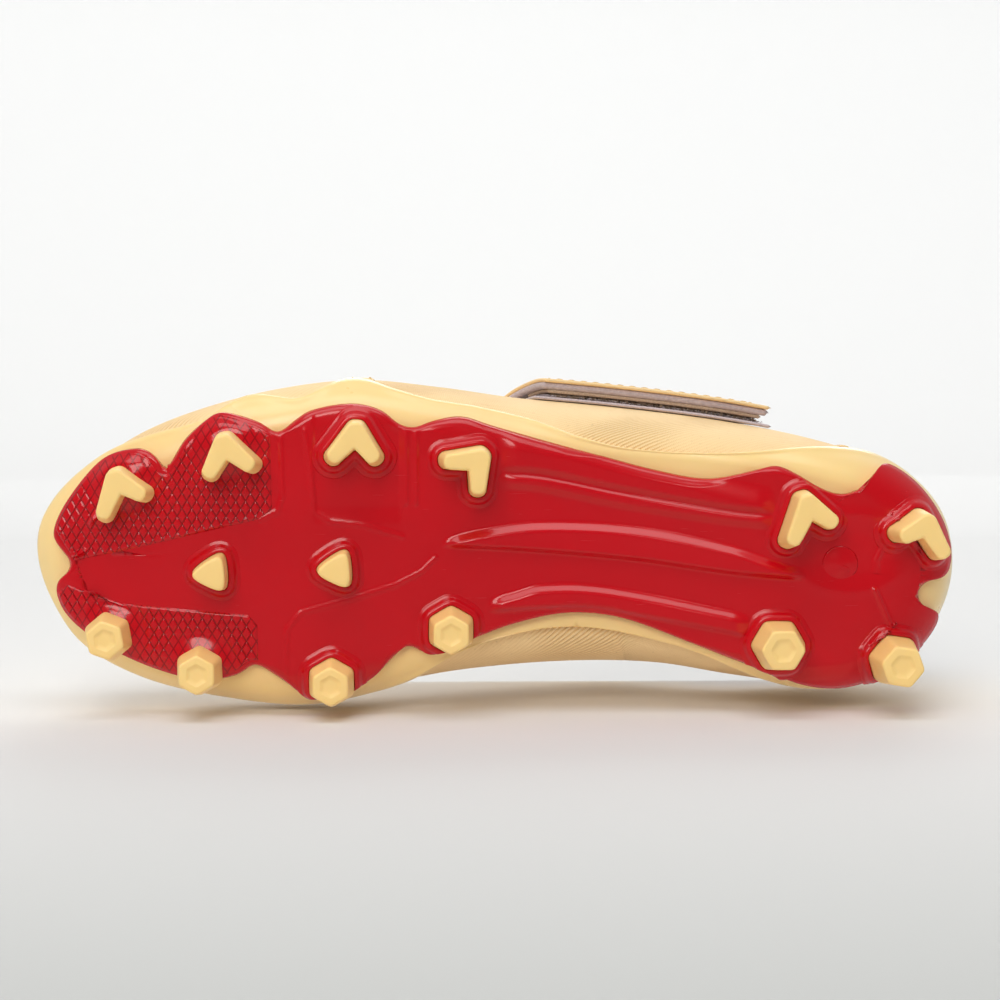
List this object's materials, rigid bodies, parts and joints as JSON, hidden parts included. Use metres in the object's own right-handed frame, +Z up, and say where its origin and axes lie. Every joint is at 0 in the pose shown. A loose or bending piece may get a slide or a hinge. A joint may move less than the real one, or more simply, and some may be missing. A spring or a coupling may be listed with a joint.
{
  "type": "soccer cleat",
  "caption": "Left child's football boot for firm ground: studded moulded plate in a cupped tray, textile upper, padded collar, and a wide hook-and-loop strap that lifts and peels back.",
  "frame": {"origin": "on the ground, under the middle of the boot's bounding box", "axes": "+X to the toe, +Y to the outer side of the foot, +Z up from the ground"},
  "size_m": [0.2398, 0.0862, 0.1053],
  "materials": {
    "plate_red": "glossy moulded polyurethane, deep red",
    "tray_cream": "glossy moulded plastic, pale yellow",
    "stud_cream": "satin moulded plastic, pale yellow",
    "textile": "fine diagonal ribbed knit, pale yellow",
    "lining_grey": "brushed textile, lilac grey",
    "loop_grey": "loop pile tape, lilac grey",
    "hook_brown": "hook tape, brown beige",
    "board_fibre": "fibre board",
    "foam_grey": "textile-faced foam",
    "stiffener": "thermoplastic sheet"
  },
  "bodies": {
    "shoe": {"outsole_plate": "plate_red", "rand_tray": "tray_cream", "stud_outer_1": "stud_cream", "stud_outer_2": "stud_cream", "stud_outer_3": "stud_cream", "stud_outer_4": "stud_cream", "stud_outer_5": "stud_cream", "stud_outer_6": "stud_cream", "stud_centre_1": "stud_cream", "stud_centre_2": "stud_cream", "stud_inner_1": "stud_cream", "stud_inner_2": "stud_cream", "stud_inner_3": "stud_cream", "stud_inner_4": "stud_cream", "stud_inner_5": "stud_cream", "stud_inner_6": "stud_cream", "lasting_board": "board_fibre", "sockliner": "foam_grey", "heel_counter": "stiffener", "toe_puff": "stiffener", "vamp": "textile", "vamp_lining": "lining_grey", "quarter_outer": "textile", "quarter_inner": "textile", "quarter_lining_outer": "lining_grey", "quarter_lining_inner": "lining_grey", "heel_panel": "textile", "heel_stay": "tray_cream", "collar_padding": "foam_grey", "collar_lining": "lining_grey", "strap_anchor": "textile", "loop_tape": "loop_grey"},
    "tongue": {"tongue": "textile", "tongue_lining": "lining_grey"},
    "strap": {"strap_skin": "textile", "strap_lining": "lining_grey"},
    "strap_tab": {"tab_skin": "textile", "tab_lining": "lining_grey", "hook_tape": "hook_brown"}
  },
  "joints": [
    {"name": "strap_swing", "type": "hinge", "parent": "shoe", "child": "strap", "pos_m": [-0.01249, -0.0323, 0.07249], "axis": [0.921, -0.0045, -0.3896], "range_deg": [0, 105]},
    {"name": "strap_peel", "type": "hinge", "parent": "strap", "child": "strap_tab", "pos_m": [-0.02875, 0.03883, 0.06626], "axis": [0.9679, 0.1023, -0.2297], "range_deg": [0, 80]},
    {"name": "tongue_tilt", "type": "hinge", "parent": "shoe", "child": "tongue", "pos_m": [0.0232, 0.0005, 0.0679], "axis": [0, 1, 0], "range_deg": [0, 20]}
  ],
  "couplings": [
    {"joint": "tongue_tilt", "follows": "strap_swing", "ratio": 0.18}
  ]
}
